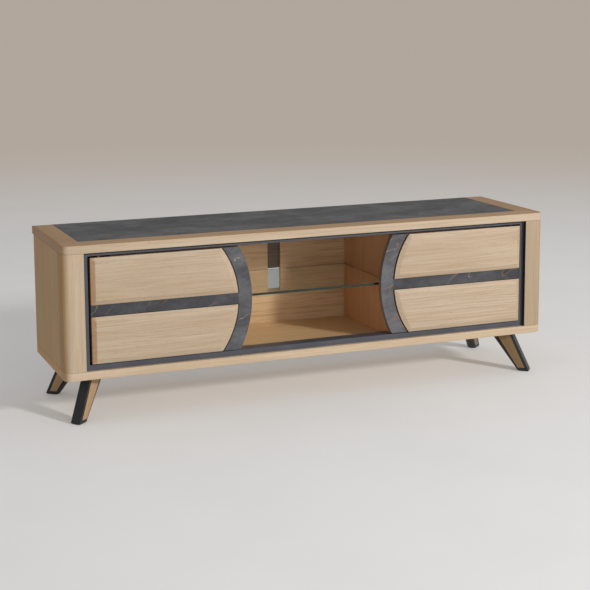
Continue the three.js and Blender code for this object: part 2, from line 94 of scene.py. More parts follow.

# Zones of a board beside one of its faces. Most are painted light and shade, as marked beside them; the ends
# are partly end grain. Each has the places where its tint starts and is full, counted from the face in the
# direction of the axis, and the tint.
ZONES = {
    # Painted shade: the outer faces of the side panels are made darker and warmer, as sides in shade show.
    "outer face": (-0.020, -0.002, (0.95, 0.77, 0.50)),
    # Painted shade: a darker band on the side where its front corner begins to round.
    "stile painted shade": (-0.004, -0.001, (0.80, 0.74, 0.66)),
    # Painted shade: the upper face of the top board is made darker and warmer, as a face lit at a low angle
    # shows.
    "upper face": (-0.0009, -0.0002, (0.92, 0.75, 0.57)),
    # The ends of the top and bottom boards are made darker and browner: partly their own end grain, partly
    # painted shade.
    "top ends": (-0.014, -0.001, (0.80, 0.64, 0.47)),
    "bottom ends": (-0.014, -0.001, (0.80, 0.68, 0.51)),
    # Painted light: behind the front frame the bottom board is made paler and warmer, for the lit niche floor
    # and the light bounced about in it.
    "inside": (-0.002, 0.002, (1.20, 1.06, 0.80)),
    # This takes the niche back's painted warm light off its rear face.
    "rear face": (-0.003, -0.001, (0.86, 0.96, 1.08)),
    # Painted light: the right partition's face towards the niche is made warmer, for the light bounced about
    # in the niche.
    "niche face": (0.003, 0.001, (1.26, 0.95, 0.77)),
    # Painted shade: the outer bevel of each left door panel, which faces away from the light, is darkened; on
    # the right door it is only slightly darkened.
    "left panel end": (0.0, 0.0012, (0.90, 0.72, 0.60)),
    "right panel end": (0.0, 0.0012, (0.98, 0.94, 0.89)),
}
STILE_SHADE_DEPTH = ("Y", -0.150, -0.175)

# Painted shade: near-black in the grooves beside the door panels and the rebates beside the front frame.
RECESS_PAINTED_SHADE = (0.020, 0.015, 0.012)
# Painted shade: dark brown on the door boards' edges and fronts, like the shaded partitions behind them.
DOOR_EDGE_PAINTED_SHADE = (0.26, 0.145, 0.082)
# Painted shadow: near-black along the top of the front frame, under the top board's overhang.
OVERHANG_PAINTED_SHADOW = (0.010, 0.010, 0.012)
BAR_TINT = (0.59, 0.585, 0.60)


def colour_setting(name, description, default):
    return FloatVectorProperty(
        name=name, description=description, default=default, subtype="COLOR", size=3, min=0.0, max=1.0
    )


def size_setting(name, description, default, largest=0.1):
    return FloatProperty(
        name=name, description=description, default=default, min=0.0, max=largest, unit="LENGTH", precision=4
    )


def level_setting(name, description, default, largest=1.0, unit="NONE"):
    return FloatProperty(name=name, description=description, default=default, min=0.0, max=largest, unit=unit)


def angle_setting(name, description, degrees):
    return FloatProperty(name=name, description=description, default=radians(degrees), subtype="ANGLE")


class CabinetWood(bpy.types.PropertyGroup):
    """Colours of the oak and sizes of its grain and edges."""

    pale: colour_setting("Pale oak", "Early wood between the year rings", (0.60, 0.485, 0.355))
    middle: colour_setting("Middle oak", "Main colour of the oiled oak", (0.545, 0.422, 0.294))
    deep: colour_setting("Deep oak", "Late wood and the darker streaks", (0.40, 0.278, 0.170))
    pore: colour_setting("Pores", "Open pores and fine checks", (0.23, 0.145, 0.08))
    # Painted shade: near-black brown for the rear brace behind the cable slot.
    brace_shade: colour_setting("Shaded oak", "Darkened oak of the rear brace", (0.075, 0.05, 0.034))
    ring: size_setting("Ring spacing", "Between two year rings", 0.0065)
    arris: size_setting("Arris", "Rounding of the boards' edges", 0.0011, 0.003)
    cover_arris: size_setting("Cover arris", "Rounding of the thin rear covers", 0.0005, 0.002)
    bevel_rise: size_setting("Bevel rise", "How far the bevel of a door panel rises", 0.0065)
    bevel_width: size_setting("Bevel width", "Width of the bevel round a door panel", 0.016)
    panel_arris: size_setting("Panel arris", "Rounding of the bevelled door panels", 0.0016, 0.003)
    leg_arris: size_setting("Leg arris", "Rounding of the wooden legs", 0.0016, 0.003)


class CabinetStone(bpy.types.PropertyGroup):
    """Colours and edges of the slate-look ceramic."""

    dark: colour_setting("Dark slate", "Darker clouds of the ceramic", (0.073, 0.074, 0.078))
    light: colour_setting("Light slate", "Lighter clouds of the ceramic", (0.168, 0.168, 0.174))
    band_dark: colour_setting("Dark band", "Darker clouds of the door ceramic", (0.058, 0.059, 0.067))
    band_light: colour_setting("Light band", "Lighter clouds of the door ceramic", (0.150, 0.152, 0.166))
    vein: colour_setting("Cream vein", "Pale veins across the ceramic", (0.46, 0.34, 0.25))
    rust: colour_setting("Rust vein", "Rust-coloured veins across the ceramic", (0.26, 0.12, 0.06))
    top_veins: level_setting("Top veins", "How strongly the veins of the top show", 0.12)
    band_veins: level_setting("Band veins", "How strongly the veins of the doors show", 0.72)
    arris: size_setting("Ceramic arris", "Ground edge of the ceramic", 0.0005, 0.002)


class CabinetMetal(bpy.types.PropertyGroup):
    """Colours, edges and screw sizes of the metalwork."""

    anthracite: colour_setting("Anthracite", "Powder coat of the front frame", (0.058, 0.062, 0.079))
    black: colour_setting("Black", "Powder coat of the leg brackets", (0.016, 0.016, 0.018))
    plastic: colour_setting("Black plastic", "Glides and catches", (0.017, 0.017, 0.018))
    steel: colour_setting("Steel", "Strike plates, shelf pins and screws", (0.56, 0.56, 0.57))
    nickel: colour_setting("Nickel", "Plates under the shelf pins", (0.86, 0.80, 0.73))
    bronze: colour_setting("Bronze", "Bushes of the door pivots", (0.26, 0.155, 0.08))
    felt: colour_setting("Felt", "Buffers behind the doors", (0.10, 0.085, 0.07))
    arris: size_setting("Metal arris", "Rounding of the coated metal edges", 0.0008, 0.002)
    fine_arris: size_setting("Fine arris", "Rounding of the small steel parts", 0.0003, 0.001)
    pin_arris: size_setting("Pin arris", "Rounding of the shelf pins", 0.0002, 0.001)
    glide_arris: size_setting("Glide arris", "Rounding of the glides", 0.0005, 0.002)
    screw_radius: size_setting("Screw radius", "Half the width of a screw head", 0.0042, 0.01)
    screw_height: size_setting("Screw height", "How far a screw head stands up", 0.0016, 0.005)
    cross_width: size_setting("Cross width", "Width of the slots in a screw head", 0.0011, 0.005)
    cross_depth: size_setting("Cross depth", "Depth of the slots in a screw head", 0.0009, 0.005)
    flange_width: size_setting("Flange width", "Width of the plate under a shelf pin", 0.0085, 0.02)
    flange_drop: size_setting("Flange drop", "How far that plate hangs down", 0.0095, 0.02)
    flange_thickness: size_setting("Flange thickness", "Thickness of that plate", 0.0016, 0.005)
    sides: IntProperty(name="Sides", description="Facets round a screw head", default=24, min=8, max=64)


class CabinetGlass(bpy.types.PropertyGroup):
    """Colours and edge of the glass shelf."""

    clear: colour_setting("Clear glass", "The two large faces", (0.93, 0.975, 0.955))
    edge: colour_setting("Glass edge", "The ground edges", (0.004, 0.022, 0.013))
    arris: size_setting("Glass arris", "Rounding of the ground edges", 0.0009, 0.003)


class CabinetStage(bpy.types.PropertyGroup):
    """Floor, lamps and camera."""

    floor: colour_setting("Floor", "Colour of the pale floor", (0.80, 0.80, 0.80))
    floor_lift: level_setting("Floor lift", "How much paler than lit the floor shows", 0.17)
    floor_radius: size_setting("Floor radius", "Half the width of the floor", 60.0, 200.0)
    fade_start: size_setting("Fade start", "Where the floor begins to fade", 2.2, 50.0)
    fade_end: size_setting("Fade end", "Where the floor has faded", 9.0, 50.0)
    horizon: colour_setting("Background", "Colour behind the floor", (0.445, 0.385, 0.33))
    ambient: colour_setting("Room light", "Colour of the soft room light", (0.98, 0.965, 0.95))
    ambient_level: level_setting("Room level", "Strength of the soft room light", 0.40, 2.0)
    lamp_reach: size_setting("Lamp distance", "From the lamps to the cabinet", 9.0, 20.0)
    key_colour: colour_setting("Key colour", "Colour of the main lamp", (1.0, 0.985, 0.965))
    key_power: level_setting("Key power", "Power of the main lamp", 484.0, 2000.0, "POWER")
    key_width: size_setting("Key width", "Width of the main lamp", 0.95, 6.0)
    key_turn: angle_setting("Key turn", "Main lamp, right of straight ahead", 31.5)
    key_lift: angle_setting("Key lift", "Main lamp, above the floor", 21)
    fill_power: level_setting("Fill power", "Power of the broad second lamp", 85.0, 2000.0, "POWER")
    fill_width: size_setting("Fill width", "Width of the second lamp", 3.5, 6.0)
    fill_turn: angle_setting("Fill turn", "Second lamp, right of straight ahead", -8)
    fill_lift: angle_setting("Fill lift", "Second lamp, above the floor", 9)
    eye: FloatVectorProperty(
        name="Camera place", description="Where the camera stands",
        default=(-1.8518, -4.5999, 1.3825), subtype="TRANSLATION", unit="LENGTH",
    )
    turn: angle_setting("Camera turn", "Camera, to the right of straight ahead", 21.99)
    dip: angle_setting("Camera dip", "Camera, below level", 8.516)
    roll: angle_setting("Camera roll", "Camera, about its own line of sight", -0.3045)
    lens: level_setting("Lens", "Focal length in millimetres", 85.893, 300.0)
    drop: FloatProperty(name="Shift", description="Upright shift of the lens", default=-0.15, min=-1, max=1)


# Nodes


def feed(tree, socket, value):
    """Links or sets a node's input. A colour gets its fourth number here."""
    if isinstance(value, bpy.types.NodeSocket):
        tree.links.new(value, socket)
    elif socket.type == "RGBA" and len(value) == 3:
        socket.default_value = (*value, 1.0)
    else:
        socket.default_value = value


def add_node(tree, kind, values=None, **settings):
    """Adds a node with its settings, and its inputs by name or by number."""
    node = tree.nodes.new(kind)
    for key, value in settings.items():
        setattr(node, key, value)
    for key, value in (values or {}).items():
        feed(tree, node.inputs[key], value)
    return node


def shader_mix(tree, share, first, second):
    return add_node(tree, "ShaderNodeMixShader", {0: share, 1: first, 2: second}).outputs["Shader"]


def ray_share(tree, *rays):
    """One for the kinds of light path that are named, and nought for the others."""
    path = add_node(tree, "ShaderNodeLightPath").outputs
    share = path[rays[0]]
    for ray in rays[1:]:
        share = add_node(tree, "ShaderNodeMath", {0: share, 1: path[ray]}, operation="MAXIMUM").outputs[0]
    return share


def glow(tree, kind, colour, strength=1.0):
    return add_node(tree, kind, {"Color": colour, "Strength": strength}).outputs[0]


def scaled(colour, by, plus=0.0):
    """A lighter or darker colour."""
    return tuple(min(1.0, c * by + plus) for c in colour)


def grain_turn(direction):
    """Turns a pattern that runs along X so that it runs along the given direction."""
    return Vector(direction).normalized().rotation_difference(Vector(ALONG_X)).to_euler()


class Finish:
    """A material's node tree, with short ways to add to it."""

    def __init__(self, name):
        self.material = bpy.data.materials.new(name)
        self.material.use_nodes = True
        self.tree = self.material.node_tree
        self.tree.nodes.clear()
        self.out = self.add("ShaderNodeOutputMaterial")
        self.shader = self.add("ShaderNodeBsdfPrincipled")
        self.show(self.shader.outputs["BSDF"])
        self.place = self.add("ShaderNodeTexCoord").outputs["Object"]

    def add(self, kind, values=None, **settings):
        return add_node(self.tree, kind, values, **settings)

    def show(self, shader):
        feed(self.tree, self.out.inputs["Surface"], shader)

    def set(self, **values):
        for key, value in values.items():
            feed(self.tree, self.shader.inputs[key.replace("_", " ")], value)

    def turned(self, vector, turn=(0, 0, 0), move=(0, 0, 0), scale=(1, 1, 1)):
        values = {"Vector": vector, "Rotation": turn, "Location": move, "Scale": scale}
        return self.add("ShaderNodeMapping", values).outputs["Vector"]

    def noise(self, vector, scale=(1, 1, 1), detail=3.0, rough=0.5, twist=0.0):
        values = {
            "Vector": self.turned(vector, scale=scale), "Scale": 1.0,
            "Detail": detail, "Roughness": rough, "Distortion": twist,
        }
        return self.add("ShaderNodeTexNoise", values).outputs["Fac"]

    def ramp(self, value, low, high, start=0.0, end=1.0):
        values = {"Value": value, "From Min": low, "From Max": high, "To Min": start, "To Max": end}
        node = self.add("ShaderNodeMapRange", values, clamp=True, interpolation_type="SMOOTHSTEP")
        return node.outputs["Result"]

    def maths(self, kind, a, b=0.0, c=0.0):
        return self.add("ShaderNodeMath", {0: a, 1: b, 2: c}, operation=kind).outputs["Value"]

    def product(self, first, *others):
        for other in others:
            first = self.maths("MULTIPLY", first, other)
        return first

    def shifted(self, vector, by, amount):
        """The vector moved by another one, which is multiplied by the amount first."""
        values = {0: by, 1: amount, 2: vector}
        return self.add("ShaderNodeVectorMath", values, operation="MULTIPLY_ADD").outputs[0]

    def mix(self, share, first, second, kind="MIX"):
        values = {MIX_SHARE: share, MIX_FIRST: first, MIX_SECOND: second}
        return self.add("ShaderNodeMix", values, data_type="RGBA", blend_type=kind).outputs[MIX_RESULT]

    def tinted(self, colour, tint):
        return self.mix(1.0, colour, tint, "MULTIPLY")

    def reach(self, letter):
        """The place along an axis. For X it is the distance from the cabinet's middle."""
        place = self.add("ShaderNodeSeparateXYZ", {"Vector": self.place}).outputs[letter]
        return self.maths("ABSOLUTE", place) if letter == "X" else place

    def over(self, letter, limit):
        return self.maths("GREATER_THAN", self.reach(letter), limit)

    def under(self, letter, limit):
        return self.maths("LESS_THAN", self.reach(letter), limit)

    def bump(self, height, strength, distance):
        node = self.add("ShaderNodeBump", {"Strength": strength, "Distance": distance, "Height": height})
        self.set(Normal=node.outputs["Normal"])


# Materials


def oak_figure(finish, wood, direction, move, bold=1.0):
    """Colour and height of straight-grained oak whose grain runs in the given direction."""
    heart = (0.0, 0.03, -0.11)
    along = finish.turned(finish.place, turn=grain_turn(direction), move=move)
    swaying = finish.shifted(along, finish.noise(along, (1.1, 5, 5), 2), (0.0, 0.022, 0.022))
    tilted = finish.turned(swaying, turn=(0.0, radians(2.2), radians(1.4)), move=heart)
    values = {
        "Vector": tilted, "Scale": RING_STEP / wood.ring,
        "Distortion": 0.7, "Detail": 3.0, "Detail Scale": 0.35,
    }
    shape = dict(wave_type="RINGS", rings_direction="X", wave_profile="SAW")
    rings = finish.add("ShaderNodeTexWave", values, **shape)
    late = finish.ramp(rings.outputs["Fac"], 0.35, 1.0)
    streaks = finish.noise(swaying, (1.1, 34, 34), 3, 0.6)
    lines = finish.noise(swaying, (4.2, 150, 150), 4, 0.65)
    fibres = finish.noise(swaying, (7, 420, 420), 4, 0.6)
    pores = finish.ramp(finish.noise(along, (42, 1500, 1500), 1.5), 0.63, 0.72)
    flecks = finish.ramp(finish.noise(along, (85, 60, 420), 1.0), 0.66, 0.74)
    clouds = finish.noise(along, (1.6, 4.5, 4.5), 2)
    sharp = 0.35 + 0.05 * bold
    body = finish.mix(finish.ramp(streaks, 0.22, 0.78), wood.pale, wood.middle)
    body = finish.mix(finish.product(late, 0.20 * bold), body, wood.deep)
    dark_lines = finish.ramp(lines, sharp, sharp + 0.30 / bold, 0.0, min(0.9, 0.42 * bold))
    body = finish.mix(dark_lines, body, wood.deep)
    body = finish.mix(finish.ramp(clouds, 0.35, 0.75, 0.0, 0.28 * bold), body, wood.deep)
    body = finish.mix(finish.ramp(fibres, 0.42, 0.75, 0.0, 0.42), body, wood.deep)
    body = finish.mix(finish.product(flecks, 0.35), body, wood.pale)
    open_pores = finish.product(pores, finish.maths("MULTIPLY_ADD", late, 0.5, 0.3))
    body = finish.mix(open_pores, body, wood.pore)
    height = finish.maths("SUBTRACT", finish.product(fibres, 0.35), pores)
    height = finish.maths("MULTIPLY_ADD", late, -0.25, height)
    return body, height, fibres


def zone(name, letter, face, *more):
    """One of the zones beside the given face, as the oak takes it. More limits narrow it."""
    start, full, tint = ZONES[name]
    return ((letter, face + start, face + full), *more), tint


def oak(
    name, wood, direction, move, tint=None, bold=1.0, cross=None, zones=(),
    blacked=None, lined=None, stain_and_shade=RECESS_PAINTED_SHADE,
):
    """Oiled oak whose grain runs in the given direction. Bold strengthens its figure.
    Cross is (x, y, z): outside, behind and above those, the strips of the top run front to back.
    Tint is a name in TINTS, and zones are as zone gives them.
    Blacked is (x or None, y): the wood is painted with the dark colour in front of y, and only within x if it
    is given: painted shade in a rebate or on a door board's edges.
    Lined is a y: the wood is painted with the dark colour behind it: painted shade on the edges that face a
    groove."""
    finish = Finish(name)
    body, height, fibres = oak_figure(finish, wood, direction, move, bold)
    if cross:
        width, line, top = cross
        side, side_height, _ = oak_figure(finish, wood, ALONG_Y, (0.37, 0.21, 0.4))
        share = finish.product(finish.over("X", width), finish.over("Y", line), finish.over("Z", top))
        rest = finish.maths("SUBTRACT", 1.0, share)
        body = finish.mix(share, body, finish.mix(0.35, side, wood.deep))
        height = finish.maths("ADD", finish.product(height, rest), finish.product(side_height, share))
    for limits, brown in zones:
        shares = [finish.ramp(finish.reach(letter), start, full) for letter, start, full in limits]
        body = finish.mix(finish.product(*shares), body, finish.tinted(body, brown))
    if tint:
        body = finish.tinted(body, TINTS[tint])
    if blacked:
        width, line = blacked
        share = finish.under("Y", line)
        if width:
            share = finish.product(share, finish.under("X", width))
        body = finish.mix(share, body, stain_and_shade)
    if lined:
        body = finish.mix(finish.over("Y", lined), body, stain_and_shade)
    finish.set(
        Base_Color=body,
        Roughness=finish.ramp(fibres, 0.3, 0.8, 0.50, 0.64),
        Specular_IOR_Level=0.38,
    )
    finish.bump(height, 0.22, 0.0004)
    return finish.material


def shaded_brace_oak(wood):
    """Dark oak of the rear brace. Its near-black brown is painted shade, for the brace seen in shade behind
    the cable slot.
    """
    finish = Finish("smoked oak")
    along = finish.turned(finish.place, move=(0.2, 0.4, 0.9))
    fibres = finish.noise(along, (5, 260, 260), 4, 0.6)
    finish.set(
        Base_Color=finish.mix(finish.ramp(fibres, 0.3, 0.75), wood.brace_shade, scaled(wood.brace_shade, 2.1)),
        Roughness=finish.ramp(fibres, 0.3, 0.8, 0.48, 0.62),
    )
    finish.bump(fibres, 0.2, 0.0004)
    return finish.material


def slate(name, dark, light, stone, veins, seed, bar=None):
    """Matt slate-look ceramic with clouds, a fine grit, slanting streaks and veins.
    Bar is (x, middle z, half height) of a darker cross bar, where the piece has one."""
    finish = Finish(name)
    place = finish.turned(finish.place, move=seed)
    slanted = finish.turned(place, turn=(0.0, radians(34), 0.0))
    clouds = finish.noise(place, (7, 12, 12), 7, 0.66, 0.3)
    grit = finish.noise(place, (420, 420, 420), 3, 0.6)
    cleft = finish.noise(place, (45, 90, 90), 6, 0.65, 0.5)
    scores = finish.noise(slanted, (14, 190, 190), 4, 0.6)
    body = finish.mix(finish.ramp(clouds, 0.32, 0.72), dark, light)
    body = finish.mix(finish.ramp(grit, 0.35, 0.8, 0.0, 0.40), body, dark)
    body = finish.mix(finish.ramp(cleft, 0.48, 0.70, 0.0, 0.45), body, dark)
    body = finish.mix(finish.ramp(scores, 0.52, 0.74, 0.0, 0.30), body, light)
    bend = finish.add("ShaderNodeTexNoise", {"Vector": slanted, "Scale": 13.0, "Detail": 5.0})
    bent = finish.shifted(slanted, bend.outputs["Color"], (0.05, 0.05, 0.05))
    line = finish.noise(bent, (2.6, 17, 17), 1)
    off_line = finish.maths("ABSOLUTE", finish.maths("SUBTRACT", line, 0.5))
    thin = finish.ramp(off_line, 0.0, 0.015, 1.0, 0.0)
    some = finish.ramp(finish.noise(slanted, (5, 8, 8), 1), 0.42, 0.54)
    hue = finish.mix(finish.ramp(finish.noise(place, (8, 8, 8), 2), 0.42, 0.58), stone.vein, stone.rust)
    body = finish.mix(finish.product(thin, some, veins), body, hue)
    if bar:
        width, middle, half = bar
        off_bar = finish.maths("ABSOLUTE", finish.maths("SUBTRACT", finish.reach("Z"), middle))
        share = finish.product(finish.over("X", width), finish.maths("LESS_THAN", off_bar, half))
        body = finish.mix(share, body, finish.tinted(body, BAR_TINT))
    finish.set(
        Base_Color=body,
        Roughness=finish.ramp(cleft, 0.3, 0.7, 0.60, 0.72),
        Specular_IOR_Level=0.34,
    )
    finish.bump(finish.maths("MULTIPLY_ADD", grit, 0.25, cleft), 0.18, 0.0005)
    return finish.material


def powder_coat(name, colour, rough, gloss=0.5, painted_shadow_from=None):
    """Fine-textured powder coat on steel. Above the given height, where one is given, the coat is painted
    almost black: painted shadow under the top board's overhang.
    """
    finish = Finish(name)
    orange = finish.noise(finish.place, (900, 900, 900), 2)
    drift = finish.noise(finish.place, (11, 11, 11), 4)
    coat = finish.mix(finish.ramp(drift, 0.35, 0.7, 0.0, 0.6), colour, scaled(colour, 1.35, 0.004))
    if painted_shadow_from:
        coat = finish.mix(finish.over("Z", painted_shadow_from), coat, OVERHANG_PAINTED_SHADOW)
    finish.set(
        Base_Color=coat,
        Roughness=finish.ramp(orange, 0.3, 0.7, rough - 0.05, rough + 0.07),
        Specular_IOR_Level=gloss,
    )
    finish.bump(orange, 0.16, 0.0002)
    return finish.material


def bare_metal(name, colour, rough, direction):
    """Brushed or turned bare metal."""
    finish = Finish(name)
    along = finish.turned(finish.place, turn=grain_turn(direction))
    brush = finish.noise(along, (30, 2400, 2400), 3)
    stain_and_shade = finish.noise(finish.place, (60, 60, 60), 3)
    finish.set(
        Base_Color=finish.mix(finish.ramp(stain_and_shade, 0.35, 0.7, 0.0, 0.6), colour, scaled(colour, 0.78)),
        Metallic=1.0,
        Roughness=finish.ramp(brush, 0.25, 0.75, rough - 0.07, rough + 0.1),
    )
    finish.bump(brush, 0.12, 0.0001)
    return finish.material


def moulded_plastic(name, colour):
    """Grained black plastic."""
    finish = Finish(name)
    grain = finish.noise(finish.place, (1300, 1300, 1300), 2)
    finish.set(
        Base_Color=finish.mix(finish.ramp(grain, 0.45, 0.75, 0.0, 0.5), colour, scaled(colour, 1.6, 0.004)),
        Roughness=finish.ramp(grain, 0.3, 0.7, 0.48, 0.62),
    )
    finish.bump(grain, 0.2, 0.00015)
    return finish.material


def pressed_felt(name, colour):
    """Short-fibred felt."""
    finish = Finish(name)
    fuzz = finish.noise(finish.place, (2600, 2600, 900), 4, 0.7)
    finish.set(
        Base_Color=finish.mix(finish.ramp(fuzz, 0.35, 0.7), colour, scaled(colour, 1.9)),
        Roughness=0.95,
        Specular_IOR_Level=0.15,
        Sheen_Weight=0.35,
    )
    finish.bump(fuzz, 0.5, 0.0004)
    return finish.material


def float_glass(name, colour, clear, rough):
    """Float glass with faint drawing marks in its roughness. The lamps shine through it."""
    finish = Finish(name)
    smear = finish.noise(finish.place, (9, 2.2, 9), 3)
    finish.set(
        Base_Color=finish.mix(finish.ramp(smear, 0.4, 0.7, 0.0, 0.25), colour, scaled(colour, 0.9)),
        Roughness=finish.ramp(smear, 0.45, 0.8, rough, rough + 0.02),
        Transmission_Weight=clear,
        IOR=1.5,
    )
    through = finish.add("ShaderNodeBsdfTransparent", {"Color": colour}).outputs["BSDF"]
    shadow = ray_share(finish.tree, "Is Shadow Ray")
    finish.show(shader_mix(finish.tree, shadow, finish.shader.outputs["BSDF"], through))
    return finish.material


def pale_floor(stage):
    """Plain paint, a little paler than lit where it is seen, that fades into the background."""
    finish = Finish("pale floor")
    dust = finish.noise(finish.place, (2, 2, 2), 3)
    paint = finish.mix(finish.ramp(dust, 0.3, 0.7), stage.floor, scaled(stage.floor, 0.97))
    finish.set(Base_Color=paint, Roughness=0.8, Specular_IOR_Level=0.15)
    plain = finish.shader.outputs["BSDF"]
    lift = glow(finish.tree, "ShaderNodeEmission", stage.floor, stage.floor_lift)
    lifted = finish.add("ShaderNodeAddShader", {0: plain, 1: lift}).outputs[0]
    seen = ray_share(finish.tree, "Is Camera Ray", "Is Glossy Ray", "Is Transmission Ray")
    near = shader_mix(finish.tree, seen, plain, lifted)
    away = finish.add("ShaderNodeVectorMath", {0: finish.place}, operation="LENGTH").outputs["Value"]
    share = finish.product(seen, finish.ramp(away, stage.fade_start, stage.fade_end))
    far = glow(finish.tree, "ShaderNodeEmission", stage.horizon)
    finish.show(shader_mix(finish.tree, share, near, far))
    return finish.material


# Meshes


def whole_mesh(node):
    """A copy of a CAD node's mesh with its corners joined and its flat faces whole."""
    weld, flat = 3e-6, radians(0.3)
    shape = bmesh.new()
    shape.from_mesh(frame["nodes"][node].data)
    bmesh.ops.remove_doubles(shape, verts=shape.verts[:], dist=weld)
    bmesh.ops.dissolve_limit(shape, angle_limit=flat, verts=shape.verts[:], edges=shape.edges[:])
    mesh = bpy.data.meshes.new(node + "_shape")
    shape.to_mesh(mesh)
    shape.free()
    return mesh


def blank(name, mesh):
    """An object that holds a mesh while its modifiers work on it."""
    thing = bpy.data.objects.new(name, mesh)
    bpy.context.scene.collection.objects.link(thing)
    return thing


def worked(thing):
    """The plain mesh that a blank's modifiers make of it. The blank is taken away."""
    bpy.context.view_layer.update()
    graph = bpy.context.evaluated_depsgraph_get()
    mesh = bpy.data.meshes.new_from_object(thing.evaluated_get(graph), depsgraph=graph)
    bpy.data.objects.remove(thing)
    return mesh


def round_edges(thing, width, segments, limit=30, miter="MITER_SHARP"):
    rounding = thing.modifiers.new("Arris", "BEVEL")
    rounding.width = width
    rounding.segments = segments
    rounding.limit_method = "ANGLE"
    rounding.angle_limit = radians(limit)
    rounding.miter_outer = miter


def settle(name, mesh, body, material=None, smooth=None):
    """Puts a finished mesh in the scene as a piece on its body."""
    mesh.name = name
    if smooth:
        mesh.shade_smooth()
        mesh.set_sharp_from_angle(angle=radians(smooth))
    if material:
        mesh.materials.clear()
        mesh.materials.append(material)
    thing = blank(name, mesh)
    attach(thing, body)
    return thing


def body_of(node):
    for body, members in frame["record"]["behaviour"]["bodies"].items():
        if node in members:
            return body
    raise RuntimeError(f"no body holds {node}")


def eased(node, material, arris, segments=3, limit=28):
    """Replaces a CAD node with a copy whose sharp edges are eased and whose flats stay flat."""
    mesh = whole_mesh(node)
    mesh.shade_smooth()
    copy = blank(node + "_blank", mesh)
    round_edges(copy, arris, segments, limit, "MITER_ARC")
    flats = copy.modifiers.new("Flats", "WEIGHTED_NORMAL")
    flats.mode = "FACE_AREA"
    flats.weight = 60
    flats.keep_sharp = True
    piece = settle(node + "_finished", worked(copy), body_of(node), material)
    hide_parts(node)
    return piece


def pin_flange(name, side, pin, face, metal, material):
    """A small rounded plate that hangs from a shelf pin against the partition."""
    facets, gap, arris = 12, 0.0001, 0.0004
    low, high = pin
    half = metal.flange_width / 2
    middle, top = (low.y + high.y) / 2, low.z - gap
    centre = top - (metal.flange_drop - half)
    angles = [pi + pi * i / facets for i in range(facets + 1)]
    ring = [(middle + half * cos(angle), centre + half * sin(angle)) for angle in angles]
    ring += [(middle + half, top), (middle - half, top)]
    shape = bmesh.new()
    near = [shape.verts.new((face - side * gap, y, z)) for y, z in ring]
    far = [shape.verts.new((face - side * metal.flange_thickness, y, z)) for y, z in ring]
    shape.faces.new(near)
    shape.faces.new(list(reversed(far)))
    for i in range(len(ring)):
        j = (i + 1) % len(ring)
        shape.faces.new((near[j], near[i], far[i], far[j]))
    bmesh.ops.recalc_face_normals(shape, faces=shape.faces[:])
    mesh = bpy.data.meshes.new(name)
    shape.to_mesh(mesh)
    shape.free()
    plate = blank(name + "_blank", mesh)
    round_edges(plate, arris, 2)
    return settle(name, worked(plate), "case", material, 30)


# Repeated fixings


